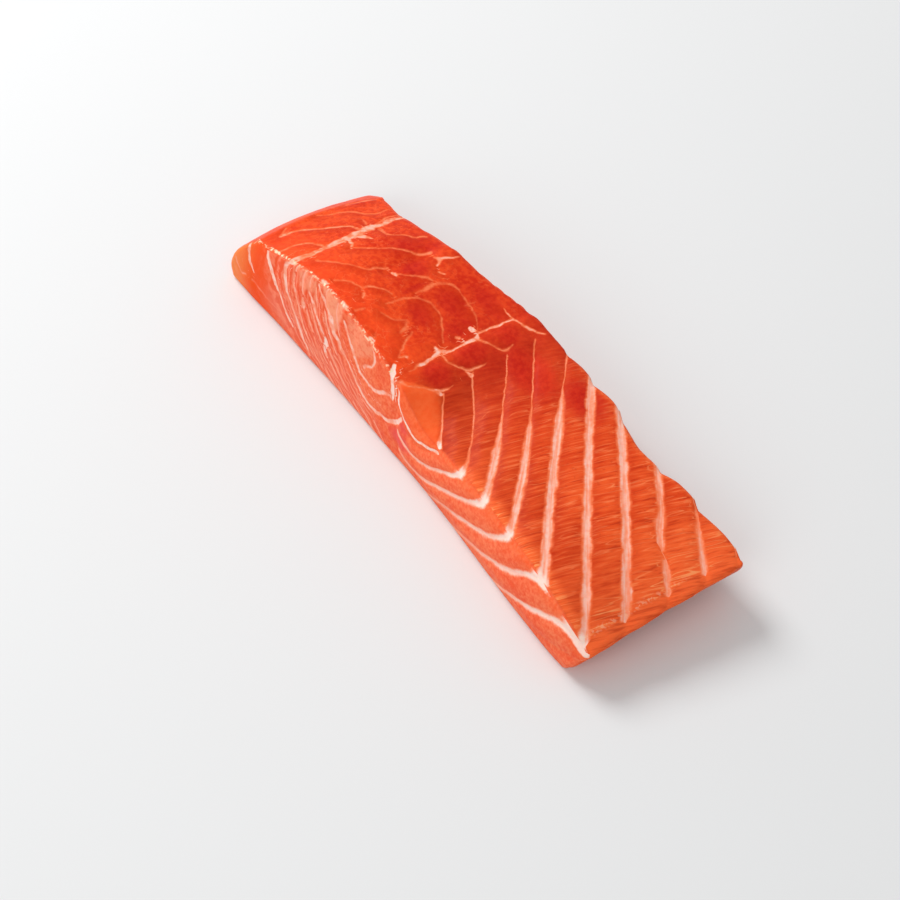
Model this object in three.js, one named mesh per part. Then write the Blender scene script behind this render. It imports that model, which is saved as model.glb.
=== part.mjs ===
// A raw salmon portion: one block of flesh cut across a skinned side of salmon, lying on the side the skin was on.
// Its long way runs from the thick back of the fish to the thin belly, and its two long faces are knife cuts that
// show the muscle layers on edge, as nested bowls. The top is the flesh side, where the layers show as stripes.
//
// Frame: millimetres, +X from the back to the belly, +Y along the fish, +Z up.
// The origin is the centre of the bounding box, at its underside.
import * as THREE from "three";
import { mergeVertices } from "three/addons/utils/BufferGeometryUtils.js";

// ---- Driving dimensions -------------------------------------------------------------------------------------------

const LENGTH = 176; // back to belly, over the bulge of the back
const WIDTH = 48; // between the two knife cuts
const THICKNESS = 30; // at the loin, the thickest stretch
const EDGE_RADIUS = 1.3; // the soft rounding of every cut edge

// The outline of the block is lofted through evenly spaced stations, from the back end to the belly end. Heights are
// shares of the thickness, and places across are shares of the width.
const FIRST_STATION = -76;
const LAST_STATION = 88;
const NEAR_RIM_HEIGHT = [0.71, 0.87, 1, 1, 0.91, 0.79, 0.61, 0.645, 0.66, 0.655, 0.645, 0.53, 0.3];
const FAR_RIM_HEIGHT = [0.53, 0.68, 0.8, 0.865, 0.865, 0.815, 0.75, 0.715, 0.7, 0.68, 0.65, 0.6, 0.53];
const NEAR_RIM = [-0.413, -0.394, -0.375, -0.367, -0.373, -0.385, -0.415, -0.423, -0.438, -0.46, -0.483, -0.5, -0.506];
const NEAR_FOOT = [-0.501, -0.491, -0.49, -0.485, -0.484, -0.487, -0.486, -0.5, -0.521, -0.543, -0.56, -0.569, -0.549];
const FAR_RIM = [0.452, 0.406, 0.429, 0.454, 0.484, 0.537, 0.541, 0.535, 0.517, 0.448, 0.488, 0.486, 0.492];
const FAR_FOOT_BACK = 0.006; // the far cut's foot lies this share of the width behind its rim

const CROWN = 0.9; // how far the top stands proud between its two rims
const SIDE_BULGE = 0.9; // how far a cut face swells at half its height

// The back end is the round back of the fish. It leans out from the rim to a belly low down.
const BACK_END = -88.8; // the furthest point of the bulge, at mid width
const BACK_LEAN = 11.5; // from the bulge back to the rim
const BACK_LEAN_POWER = 1.75; // how late it leans
const BACK_BULGE_AT = 0.2; // share of the height
const BACK_BOW = 1.9; // the end is a little convex in plan
const BACK_SKEW = 0.9; // the far corner reaches back less than the near one

// The belly end is one slanting cut. Its foot lies back under the rim, and the far corner curls up off the plate.
const BELLY_SKEW = 1.7; // the far corner reaches further than the near one
const BELLY_END = LENGTH / 2 - BELLY_SKEW;
const BELLY_UNDERCUT = 5.5;
const CURL = 4.5; // how high the far corner's underside stands
const CURL_START = 49; // where the underside starts to leave the plate

// ---- Muscle layers ------------------------------------------------------------------------------------------------

// White sheets part the muscle into layers. The number that layerCount gives is whole on every sheet. On one side of
// the seam lies the belly, on the other the loin and the back.
const SEAM_X = -8.3; // where the seam meets the top
const SEAM_LEAN = 0.35; // its move along X for each millimetre of depth
const SEAM_WIDTH = 2.5; // a layer thins over this distance as it meets the seam

// Where each belly sheet crosses the top along X: near the near cut, at mid width and near the far cut.
const CROSSING_Y = [-22, 0, 22];
const BELLY_SHEETS = [
  [15.5, -13, -50],
  [25.1, 0.5, -49],
  [35.9, 14.6, -13.1],
  [47.6, 26, -0.6],
  [62.3, 37.6, 13.4],
  [80.3, 52, 24.8],
  [96.5, 68.6, 38.3],
  [118, 86.5, 54],
  [143, 107, 70.3],
  [163, 127, 88],
  [183, 147, 107],
];
const BELLY = {
  ridge: -0.5, // the sheets fold back here along X
  fold: 0.7, // how much they turn where they fold
  roundness: 1.19, // of the bowls on a cut face
  drift: 1.15, // how far the bowls' middle moves along X for each millimetre along Y
  squash: [2.27, 1.83], // of the bowls, from the inner to the outer ones
  swell: 0.6, // how far a layer swells out of the cut between its sheets
};
const RIM_PULL = { reach: 5.2, from: 49.5, over: 12.5, fade: 2 }; // the outer bowls run out along the near rim

const LOIN = { axis: -16.5, drift: 0.93, squash: 1.3, roundness: 1.6, fold: 0.45, swell: 0.3 };
const LOIN_SHEETS = [8, 16.7, 25, 30.3, 34.2, 37, 40, 43.5, 47, 52, 63, 74, 85, 96, 107, 118]; // radii of its bowls

// ---- Marks in the top ---------------------------------------------------------------------------------------------

const BONE_BED = { x: -22, halfLength: 17, depth: 0.9 }; // the shallow bed that the backbone left
const CLEFT = { x: -40.5, width: 3, depth: 0.9, from: 0, to: 14 }; // a small step where the bed begins
const WORN_RIM = { x: 4, halfLength: 10, depth: 0.8, reach: 4 }; // the near rim is soft where loin meets belly
const LIP = { x: -37.5, halfLength: 4, height: 1.1, reach: 6 }; // a flap that stands up at the far rim
const SCALLOP = 1.8; // how far each belly layer sticks out of the far cut before the next
const DROP_AFTER = 0.1; // how far past a sheet it drops back, as a share of a layer

// ---- Mesh ---------------------------------------------------------------------------------------------------------

const SEGMENTS = { x: 72, y: 22, z: 10 };
const CROWDING = 0.09; // share of the grid that is drawn towards the edges
const CROWDING_POWER = 7;

const HALF_BLOCK = new THREE.Vector3(LENGTH / 2, WIDTH / 2, THICKNESS / 2);

const { lerp, clamp, smoothstep } = THREE.MathUtils;

/** A bell that is 1 at the middle and fades over halfLength to each side. */
const bell = (offset, halfLength) => Math.exp(-((offset / halfLength) ** 2));

/** The value at x of a smooth curve through evenly spaced stations. */
function loft(values, x) {
  const last = values.length - 1;
  const place = clamp(((x - FIRST_STATION) / (LAST_STATION - FIRST_STATION)) * last, 0, last);
  const index = Math.min(Math.floor(place), last - 1);
  const t = place - index;
  const p1 = values[index];
  const p2 = values[index + 1];
  const p0 = values[index - 1] ?? 2 * p1 - p2;
  const p3 = values[index + 2] ?? 2 * p2 - p1;
  const m1 = (p2 - p0) / 2;
  const m2 = (p3 - p1) / 2;
  return (2 * t ** 3 - 3 * t ** 2 + 1) * p1 + (t ** 3 - 2 * t ** 2 + t) * m1 + (3 * t ** 2 - 2 * t ** 3) * p2 + (t ** 3 - t ** 2) * m2;
}

/** The parabola through the three crossings of a sheet, at y. */
function crossing([near, middle, far], y) {
  const [nearY, middleY, farY] = CROSSING_Y;
  const first = (middle - near) / (middleY - nearY);
  const second = (far - middle) / (farY - middleY);
  const bend = (second - first) / (farY - nearY);
  return near + first * (y - nearY) + bend * (y - nearY) * (y - middleY);
}

/** How many sheets lie between a point of the belly and the innermost one. */
function bellyCount(x, y, depth) {
  const across = y + BELLY.fold * Math.max(0, BELLY.ridge - x);
  const centre = BELLY.ridge - BELLY.drift * (across - CROSSING_Y[0]);
  const run = Math.max(0, Math.max(x, BELLY.ridge) - centre);
  const squash = lerp(...BELLY.squash, smoothstep(run, 15, 60));
  const power = BELLY.roundness;
  const radius = (run ** power + (squash * depth) ** power) ** (1 / power);
  const nearRim = 1 - smoothstep(across, CROSSING_Y[0] + 2, CROSSING_Y[0] + 12);
  const pull = RIM_PULL.reach * (Math.max(0, radius - RIM_PULL.from) / RIM_PULL.over) ** 1.2;
  const place = centre + radius + pull * nearRim * (1 - Math.exp(-depth / RIM_PULL.fade));
  const lines = BELLY_SHEETS.map((sheet) => crossing(sheet, across));
  const share = (i) => (place - lines[i]) / Math.max(1, lines[i + 1] - lines[i]);
  let count = clamp(share(0), -0.45, 1);
  for (let i = 1; i < lines.length - 1; i++) count += clamp(share(i), 0, 1);
  return count;
}

/** How many sheets lie between a point of the loin or back and the middle of their bowls. */
function loinCount(x, y, depth) {
  const centre = LOIN.axis + LOIN.drift * (y - CROSSING_Y[0]);
  const deep = Math.max(0, depth - LOIN.fold * Math.max(0, x - centre));
  const power = LOIN.roundness;
  const radius = (Math.max(0, centre - x) ** power + (LOIN.squash * deep) ** power) ** (1 / power);
  const next = LOIN_SHEETS.findIndex((sheet) => sheet > radius);
  if (next < 0) return LOIN_SHEETS.length;
  const low = LOIN_SHEETS[next - 1] ?? 0;
  const share = (radius - low) / (LOIN_SHEETS[next] - low);
  return next === 0 ? 0.4 + 0.6 * share : next + share;
}

/** How far a point lies on the belly's side of the seam between loin and belly. */
const fromSeam = (x, depth) => x - (SEAM_X + SEAM_LEAN * depth);

/** How many sheets lie between a point and the innermost one. Whole numbers are the sheets themselves. */
const layerCount = (x, y, depth) => (fromSeam(x, depth) > 0 ? bellyCount(x, y, depth) : loinCount(x, y, depth));

/** How far a muscle layer swells out of the cut surface at a point. It is 0 on the sheets. */
function layerSwell(x, y, depth, outward) {
  const seam = fromSeam(x, depth);
  const height = seam > 0 ? BELLY.swell : LOIN.swell * smoothstep(Math.abs(outward.y), 0.2, 0.8);
  return height * Math.abs(Math.sin(Math.PI * layerCount(x, y, depth))) ** 0.7 * Math.min(1, Math.abs(seam) / SEAM_WIDTH);
}

/** How far each belly layer sticks out of the far cut: it grows along the layer and drops just past the next sheet. */
function scallop(x, y, depth) {
  const count = layerCount(x, y, depth) - DROP_AFTER;
  const share = count - Math.floor(count);
  return SCALLOP * smoothstep(x, SEAM_X, 30) * Math.min(share, (1 - share) * 4);
}

/** The marks in the top: the bone bed, the cleft at its edge, the worn near rim and the lip at the far rim. */
function topMarks(x, y, fromNearRim, fromFarRim) {
  const bed = BONE_BED.depth * bell(x - BONE_BED.x, BONE_BED.halfLength) * smoothstep(fromNearRim, 4, 14);
  const inCleft = smoothstep(y, CLEFT.from - 4, CLEFT.from) * (1 - smoothstep(y, CLEFT.to, CLEFT.to + 4));
  const cleft = CLEFT.depth * bell(x - CLEFT.x, CLEFT.width) * inCleft;
  const worn = WORN_RIM.depth * bell(x - WORN_RIM.x, WORN_RIM.halfLength) * bell(fromNearRim, WORN_RIM.reach);
  const lip = LIP.height * bell(x - LIP.x, LIP.halfLength) * bell(fromFarRim, LIP.reach);
  return lip - bed - cleft - worn;
}

/** Where a point of the straight rounded block goes in the salmon portion. */
function shaped(point, outward) {
  const across = (point.y / HALF_BLOCK.y + 1) / 2;
  const up = (point.z / HALF_BLOCK.z + 1) / 2;

  const lean = Math.abs(up - BACK_BULGE_AT) / (1 - BACK_BULGE_AT);
  const askew = 2 * across - 1;
  const backEnd = BACK_END + BACK_LEAN * lean ** BACK_LEAN_POWER + BACK_BOW * askew ** 2 + BACK_SKEW * askew;
  const bellyEnd = BELLY_END + BELLY_SKEW * askew - BELLY_UNDERCUT * (1 - up) ** 1.2;
  const x = lerp(backEnd, bellyEnd, (point.x / HALF_BLOCK.x + 1) / 2);

  const bulge = SIDE_BULGE * 4 * up * (1 - up);
  const near = WIDTH * lerp(loft(NEAR_FOOT, x), loft(NEAR_RIM, x), up) - bulge;
  const far = WIDTH * (loft(FAR_RIM, x) - FAR_FOOT_BACK * (1 - up)) + bulge;
  const top = THICKNESS * lerp(loft(NEAR_RIM_HEIGHT, x), loft(FAR_RIM_HEIGHT, x), across);
  const depth = (1 - up) * top;
  const farEdge = far + up * scallop(x, far, depth);
  const y = lerp(near, farEdge, across);

  const crown = CROWN * 4 * across * (1 - across);
  const marks = topMarks(x, y, y - near, far - y) * up ** 3;
  const curl = CURL * smoothstep(x, CURL_START, BELLY_END) * smoothstep(across, 0, 0.6);
  const z = lerp(curl, top + crown, up) + marks;

  const swell = outward.z < -0.5 ? 0 : layerSwell(x, y, depth, outward) * smoothstep(up, 0.05, 0.3);
  return new THREE.Vector3(x, y, z).addScaledVector(outward, swell);
}

/** Draws a grid coordinate from -1 to 1 towards the ends, so that the edges get finer rows. */
const crowded = (t) => (t - CROWDING * t ** CROWDING_POWER) / (1 - CROWDING);

/** The fillet's surface: a gridded box whose edges are rounded and whose points are then moved to their places. */
function filletGeometry() {
  const geometry = new THREE.BoxGeometry(2, 2, 2, SEGMENTS.x, SEGMENTS.y, SEGMENTS.z);
  geometry.deleteAttribute("normal");
  geometry.deleteAttribute("uv");
  const merged = mergeVertices(geometry, 1e-4);

  const places = merged.getAttribute("position");
  const point = new THREE.Vector3();
  const core = new THREE.Vector3();
  const coreSize = HALF_BLOCK.clone().subScalar(EDGE_RADIUS);
  for (let i = 0; i < places.count; i++) {
    point.fromBufferAttribute(places, i);
    point.set(crowded(point.x), crowded(point.y), crowded(point.z)).multiply(HALF_BLOCK);
    core.copy(point).clamp(coreSize.clone().negate(), coreSize);
    const outward = point.clone().sub(core).normalize();
    point.copy(core).addScaledVector(outward, EDGE_RADIUS);
    const place = shaped(point, outward);
    places.setXYZ(i, place.x, place.y, Math.max(0, place.z));
  }

  merged.computeBoundingBox();
  const box = merged.boundingBox;
  merged.translate(-(box.min.x + box.max.x) / 2, -(box.min.y + box.max.y) / 2, -box.min.z);
  merged.computeVertexNormals();
  return merged;
}

function fillet() {
  const flesh = new THREE.MeshStandardMaterial({ color: 0xe8602c, roughness: 0.35, metalness: 0 });
  const mesh = new THREE.Mesh(filletGeometry(), flesh);
  mesh.name = "salmon_fillet";
  return mesh;
}

const part = new THREE.Group();
part.add(fillet());

export default part;
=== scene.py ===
# %% [markdown]
# # A raw salmon portion
#
# This lesson dresses one raw, skinless portion of salmon. The portion is a long block of flesh that was
# cut across the side of the fish. It lies on the side that the skin was on, so its top is the inside of
# the fish. Its two long faces are knife cuts, one end is the round back of the fish, and the other end is
# the thin belly.
#
# Muscle in a fish grows in layers, and a thin white sheet parts each layer from the next. The sheets nest
# like bowls on a cut face, and they run as slanting stripes over the top. Almost everything that makes
# salmon look like salmon is those sheets, so most of the lesson is about where they lie.
#
# Sizes are in millimetres until the mesh is finished, and in metres from then on. +X runs from the back
# of the fish to the belly, +Y runs along the fish, and +Z is up.

# %% The frame
import math

import bmesh
import bpy
import numpy as np
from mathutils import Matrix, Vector, kdtree, noise


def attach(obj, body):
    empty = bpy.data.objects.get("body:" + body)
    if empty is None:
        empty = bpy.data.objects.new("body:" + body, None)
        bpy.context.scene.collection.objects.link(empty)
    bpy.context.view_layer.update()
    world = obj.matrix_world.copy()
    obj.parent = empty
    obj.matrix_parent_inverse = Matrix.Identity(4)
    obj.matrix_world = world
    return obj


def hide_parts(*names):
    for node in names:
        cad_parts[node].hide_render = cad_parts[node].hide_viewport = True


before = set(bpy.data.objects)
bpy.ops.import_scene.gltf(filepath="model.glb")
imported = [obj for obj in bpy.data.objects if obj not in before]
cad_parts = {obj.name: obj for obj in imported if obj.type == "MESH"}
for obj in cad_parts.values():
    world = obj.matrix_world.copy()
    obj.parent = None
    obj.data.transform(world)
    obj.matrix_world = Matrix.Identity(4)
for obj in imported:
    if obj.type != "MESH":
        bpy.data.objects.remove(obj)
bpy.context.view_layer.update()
MM = 0.001

# %% [markdown]
# ## The sizes of the block
#
# A knife made this shape, so it is a block and not a blob: two long cuts, a slanting cut at the belly and
# the round back of the fish. It could be sculpted by hand, but a block whose outline is drawn through a
# few stations along its length is easier to set right, because each number is a size that could be
# measured on the piece. The underside hugs the plate, apart from the thin corner at the belly, which
# curls up.

# %% Sizes of the block
LENGTH = 176.0
WIDTH = 48.0
THICKNESS = 30.0
EDGE_RADIUS = 1.3
FIRST_STATION = -76.0
LAST_STATION = 88.0
# From the back of the fish to the belly, as shares of the thickness and of the width.
NEAR_RIM_HEIGHT = THICKNESS * np.array(
    [0.71, 0.87, 1.0, 1.0, 0.91, 0.79, 0.61, 0.645, 0.66, 0.655, 0.645, 0.53, 0.3]
)
FAR_RIM_HEIGHT = THICKNESS * np.array(
    [0.53, 0.68, 0.8, 0.865, 0.865, 0.815, 0.75, 0.715, 0.7, 0.68, 0.65, 0.6, 0.53]
)
NEAR_RIM = -WIDTH * np.array(
    [0.413, 0.394, 0.375, 0.367, 0.373, 0.385, 0.415, 0.423, 0.438, 0.46, 0.483, 0.5, 0.506]
)
NEAR_FOOT = -WIDTH * np.array(
    [0.501, 0.491, 0.49, 0.485, 0.484, 0.487, 0.486, 0.5, 0.521, 0.543, 0.56, 0.569, 0.549]
)
FAR_RIM = WIDTH * np.array(
    [0.452, 0.406, 0.429, 0.454, 0.484, 0.537, 0.541, 0.535, 0.517, 0.448, 0.488, 0.486, 0.492]
)
FAR_FOOT = WIDTH * np.array(
    [0.446, 0.4, 0.423, 0.448, 0.478, 0.531, 0.534, 0.529, 0.511, 0.441, 0.481, 0.48, 0.485]
)
CROWN = 0.9
SIDE_BULGE = 0.9
BACK_END = -88.8
BACK_LEAN = 11.5
BACK_LEAN_POWER = 1.75
BACK_BULGE_AT = 0.2
BACK_BOW = 1.9
BACK_SKEW = 0.9
BELLY_SKEW = 1.7
BELLY_END = LENGTH / 2 - BELLY_SKEW
BELLY_UNDERCUT = 5.5
UNDERCUT_POWER = 1.2
CURL = 4.5
CURL_START = 49.0
CURL_ACROSS = 0.6
print("block:", LENGTH, "x", WIDTH, "x", THICKNESS, "mm before its relief")

# %% [markdown]
# ## Small tools for curves
#
# A few small functions do the work below. `smoothstep`, `falls` and `bell` fade something in and out, and
# `mix` blends two values. `loft` draws a smooth curve through evenly spaced stations. `through_three` is
# the parabola through three values, for a line of fat that bends a little as it crosses the block. They
# all work on whole arrays, so thousands of points cost no loop.


# %% Curves
def smoothstep(value, low, high):
    """Fades from 0 at low to 1 at high."""
    share = np.clip((value - low) / (high - low), 0.0, 1.0)
    return share * share * (3.0 - 2.0 * share)


def falls(value, low, high):
    """Fades from 1 at low to 0 at high."""
    return 1.0 - smoothstep(value, low, high)


def bell(offset, half_length):
    """Is 1 in the middle and fades over half_length to each side."""
    return np.exp(-((offset / half_length) ** 2))


def mix(low, high, share):
    return low + (high - low) * share


def with_ends(values):
    """The values, and one more on either side that carries them on straight."""
    return np.concatenate([[2 * values[0] - values[1]], values, [2 * values[-1] - values[-2]]])


def curve(before, start, end, after, t):
    """A smooth curve from start (t = 0) to end (t = 1), which heads the way that their neighbours lie."""
    return (
        (2 * t**3 - 3 * t**2 + 1) * start
        + (t**3 - 2 * t**2 + t) * (end - before) / 2
        + (3 * t**2 - 2 * t**3) * end
        + (t**3 - t**2) * (after - start) / 2
    )


def loft(values, x):
    """The value at x of a smooth curve through evenly spaced stations."""
    last = len(values) - 1
    place = np.clip((x - FIRST_STATION) / (LAST_STATION - FIRST_STATION) * last, 0.0, last)
    index = np.minimum(place.astype(int), last - 1)
    padded = with_ends(values)
    return curve(*(padded[index + step] for step in range(4)), place - index)


def through_three(near, middle, far, y):
    """The parabola with the given values at the near cut, at mid width and at the far cut."""
    first = (middle - near) / (MIDDLE_Y - NEAR_Y)
    second = (far - middle) / (FAR_Y - MIDDLE_Y)
    bend = (second - first) / (FAR_Y - NEAR_Y)
    return near + first * (y - NEAR_Y) + bend * (y - NEAR_Y) * (y - MIDDLE_Y)


NEAR_Y = -22.0
MIDDLE_Y = 0.0
FAR_Y = 22.0
print("near cut, mid width and far cut at y =", NEAR_Y, MIDDLE_Y, FAR_Y)

# %% [markdown]
# ## The layers of the belly
#
# Each white sheet is a bowl. Seen from above it is a slanting line, and seen on the knife cut it is half
# a ring. The two meet in a sharp tip on the rim. So one number is worked out for every point of the
# flesh: how many sheets lie between it and the middle of the bowls. The sheets are then simply where that
# number is whole, on every face at once, and they can't fail to meet at the rim.
#
# The table says where each sheet crosses the top, along X, at the near cut, at mid width and at the far
# cut. The innermost ones fold back at the ridge line and run down to the seam between belly and loin.

# %% Belly sheets
BELLY_SHEETS = (
    (15.5, -13.0, -50.0),
    (25.1, 0.5, -49.0),
    (35.9, 14.6, -13.1),
    (47.6, 26.0, -0.6),
    (62.3, 37.6, 13.4),
    (80.3, 52.0, 24.8),
    (96.5, 68.6, 38.3),
    (118.0, 86.5, 54.0),
    (143.0, 107.0, 70.3),
    (163.0, 127.0, 88.0),
    (183.0, 147.0, 107.0),
    (203.0, 167.0, 126.0),
)
BELLY_RIDGE = -0.5
BELLY_FOLD = 0.7
BELLY_ROUNDNESS = 1.19
BOWL_DRIFT = 1.15
SQUASH_INNER = 2.27
SQUASH_OUTER = 1.83
SQUASH_FROM = 15.0
SQUASH_TO = 60.0
RIM_PULL = 5.2
RIM_PULL_FROM = 49.5
RIM_PULL_OVER = 12.5
RIM_PULL_POWER = 1.2
RIM_PULL_DEPTH = 2.0
RIM_PULL_NEAR = (NEAR_Y + 2.0, NEAR_Y + 12.0)
LOWEST_COUNT = -0.45


def belly_count(x, y, depth):
    """How many sheets lie between a point of the belly and the innermost one."""
    folded = np.maximum(0.0, BELLY_RIDGE - x)
    along = np.maximum(x, BELLY_RIDGE)
    across = y + BELLY_FOLD * folded
    centre = BELLY_RIDGE - BOWL_DRIFT * (across - NEAR_Y)
    run = np.maximum(0.0, along - centre)
    depth = np.maximum(depth, 0.0)
    squash = mix(SQUASH_INNER, SQUASH_OUTER, smoothstep(run, SQUASH_FROM, SQUASH_TO))
    power = BELLY_ROUNDNESS
    radius = (run**power + (squash * depth) ** power) ** (1 / power)
    near_rim = falls(across, *RIM_PULL_NEAR)
    pull = RIM_PULL * (np.maximum(0.0, radius - RIM_PULL_FROM) / RIM_PULL_OVER) ** RIM_PULL_POWER
    top_place = centre + radius + pull * near_rim * (1.0 - np.exp(-depth / RIM_PULL_DEPTH))
    lines = np.array([through_three(*sheet, across) for sheet in BELLY_SHEETS])
    gaps = np.maximum(np.diff(lines, axis=0), 1.0)
    count = np.clip((top_place - lines[0]) / gaps[0], LOWEST_COUNT, 1.0)
    for line, gap in zip(lines[1:], gaps[1:]):
        count = count + np.clip((top_place - line) / gap, 0.0, 1.0)
    return count


print("belly sheets:", len(BELLY_SHEETS))

# %% [markdown]
# ## The layers of the loin and the back
#
# On the other side of the seam the bowls open the other way, and they are packed tighter. Here the sheets
# are given by their radius on the near cut. The same number is worked out for them, so that the near cut,
# the far cut and the round back of the fish all carry them.

# %% Loin and back sheets
LOIN_AXIS = -16.5
LOIN_SLOPE = 0.93
LOIN_SQUASH = 1.3
LOIN_ROUNDNESS = 1.6
LOIN_FOLD = 0.45
LOIN_SHEETS = (8.0, 16.7, 25.0, 30.3, 34.2, 37.0, 40.0, 43.5, 47.0, 52.0, *range(63, 119, 11))
LOIN_MIDDLE = 0.4
SEAM_X = -8.3
SEAM_LEAN = 0.35


def loin_count(x, y, depth):
    """How many sheets lie between a point of the loin or back and the middle of their bowls."""
    centre = LOIN_AXIS + LOIN_SLOPE * (y - NEAR_Y)
    beyond = np.maximum(0.0, x - centre)
    deep = np.maximum(0.0, depth - LOIN_FOLD * beyond)
    power = LOIN_ROUNDNESS
    radius = (np.maximum(0.0, centre - x) ** power + (LOIN_SQUASH * deep) ** power) ** (1 / power)
    return np.interp(radius, (0.0, *LOIN_SHEETS), (LOIN_MIDDLE, *range(1, len(LOIN_SHEETS) + 1)))


def from_seam(x, depth):
    """How far a point lies on the belly's side of the seam between loin and belly."""
    return x - (SEAM_X + SEAM_LEAN * depth)


def layer_count(x, y, depth):
    return np.where(from_seam(x, depth) > 0.0, belly_count(x, y, depth), loin_count(x, y, depth))


print("loin and back sheets:", len(LOIN_SHEETS))

# %% [markdown]
# ## The block of flesh
#
# A cube is cut into a fine grid with `subdivide_edges`, one direction at a time, because each direction
# needs its own number of cuts. The grid is then moved to the shape of the portion. A subdivided cube
# keeps its six sides apart, so that every point still knows which cut of the knife it lies on.

# %% Grid
GRID = (288, 88, 48)
CROWDING = 0.09
CROWDING_POWER = 7


def gridded_cube(cuts):
    """A closed cube from -1 to 1 whose edges are cut into the given number of steps along X, Y and Z."""
    bm = bmesh.new()
    bmesh.ops.create_cube(bm, size=2.0)
    for axis in range(3):
        along = [
            edge
            for edge in bm.edges
            if abs(edge.verts[0].co[axis] - edge.verts[1].co[axis]) > 1.0
        ]
        bmesh.ops.subdivide_edges(bm, edges=along, cuts=cuts[axis] - 1, use_grid_fill=True)
    return bm


bm = gridded_cube(GRID)
mesh = bpy.data.meshes.new("salmon_portion")
bm.to_mesh(mesh)
bm.free()
print("grid:", len(mesh.vertices), "points,", len(mesh.polygons), "faces")

# %% [markdown]
# ## From the cube to the portion
#
# First the edges of a plain block are rounded: each point is pushed out from the nearest point of a
# smaller core block. The direction of that push is kept, since it is also the way in which a muscle
# swells out of its cut. Then the loft gives each point its place between the two cuts and between the
# underside and the top.

# %% Marks in the top
BONE_BED = {"x": -22.0, "half_length": 17.0, "depth": 0.9, "from": 4.0, "to": 14.0}
CLEFT = {"x": -40.5, "width": 3.0, "depth": 0.9, "from": 0.0, "to": 14.0, "fade": 4.0}
WORN_RIM = {"x": 4.0, "half_length": 10.0, "depth": 0.8, "reach": 4.0}
LIP = {"x": -37.5, "half_length": 4.0, "height": 1.1, "reach": 6.0}
SCALLOP = 1.8
SCALLOP_DROP = 4.0
DROP_AFTER = 0.1
LOIN_TO_BELLY = (SEAM_X, 30.0)


def top_marks(x, y, from_near_rim, from_far_rim):
    """The bed that the backbone left, the cleft beside it, the worn near rim and the lip at the far rim."""
    bed = BONE_BED["depth"] * bell(x - BONE_BED["x"], BONE_BED["half_length"])
    bed = bed * smoothstep(from_near_rim, BONE_BED["from"], BONE_BED["to"])
    in_cleft = smoothstep(y, CLEFT["from"] - CLEFT["fade"], CLEFT["from"])
    in_cleft = in_cleft * falls(y, CLEFT["to"], CLEFT["to"] + CLEFT["fade"])
    cleft = CLEFT["depth"] * bell(x - CLEFT["x"], CLEFT["width"]) * in_cleft
    worn = WORN_RIM["depth"] * bell(x - WORN_RIM["x"], WORN_RIM["half_length"])
    worn = worn * bell(from_near_rim, WORN_RIM["reach"])
    lip = LIP["height"] * bell(x - LIP["x"], LIP["half_length"]) * bell(from_far_rim, LIP["reach"])
    return lip - bed - cleft - worn


print("marks: bone bed, cleft, worn rim, lip")

# %% Place every point
places = np.empty(len(mesh.vertices) * 3)
mesh.vertices.foreach_get("co", places)
places = places.reshape(-1, 3)
places = (places - CROWDING * places**CROWDING_POWER) / (1 - CROWDING)
half_block = np.array([LENGTH, WIDTH, THICKNESS]) / 2
places = places * half_block
core = np.clip(places, EDGE_RADIUS - half_block, half_block - EDGE_RADIUS)
outward = places - core
outward = outward / np.linalg.norm(outward, axis=1)[:, None]
places = core + EDGE_RADIUS * outward

across = (places[:, 1] / half_block[1] + 1) / 2
up = (places[:, 2] / half_block[2] + 1) / 2
lean = np.abs(up - BACK_BULGE_AT) / (1 - BACK_BULGE_AT)
askew = 2 * across - 1
back_end = BACK_END + BACK_LEAN * lean**BACK_LEAN_POWER + BACK_BOW * askew**2 + BACK_SKEW * askew
belly_end = BELLY_END + BELLY_SKEW * askew - BELLY_UNDERCUT * (1 - up) ** UNDERCUT_POWER
x = mix(back_end, belly_end, (places[:, 0] / half_block[0] + 1) / 2)

bulge = SIDE_BULGE * 4 * up * (1 - up)
near_side = mix(loft(NEAR_FOOT, x), loft(NEAR_RIM, x), up) - bulge
far_side = mix(loft(FAR_FOOT, x), loft(FAR_RIM, x), up) + bulge
top = mix(loft(NEAR_RIM_HEIGHT, x), loft(FAR_RIM_HEIGHT, x), across)
depth = (1 - up) * top

far_count = layer_count(x, far_side, depth)
far_share = far_count - DROP_AFTER - np.floor(far_count - DROP_AFTER)
scalloped = smoothstep(x, *LOIN_TO_BELLY)
scallop = SCALLOP * scalloped * np.minimum(far_share, (1 - far_share) * SCALLOP_DROP)
y = mix(near_side, far_side + up * scallop, across)
crown = CROWN * 4 * across * (1 - across)
marks = top_marks(x, y, y - near_side, far_side - y) * up**3
curl = CURL * smoothstep(x, CURL_START, BELLY_END) * smoothstep(across, 0.0, CURL_ACROSS)
z = mix(curl, top + crown, up) + marks
print("placed", len(x), "points")

# %% [markdown]
# ## The lines that no bowl explains
#
# Some white lines have a course of their own: the seam between loin and belly, the band of fat between
# loin and back, the cell walls in the loin and the curls where the seam meets the knife cut. Each is a
# short brush stroke given by a few points. A stroke could be a thin piece of mesh, but fat lies in the
# surface and not on it. So every point of the block is told which way and how far off the nearest stroke
# lies, and the material paints from that.

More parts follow.
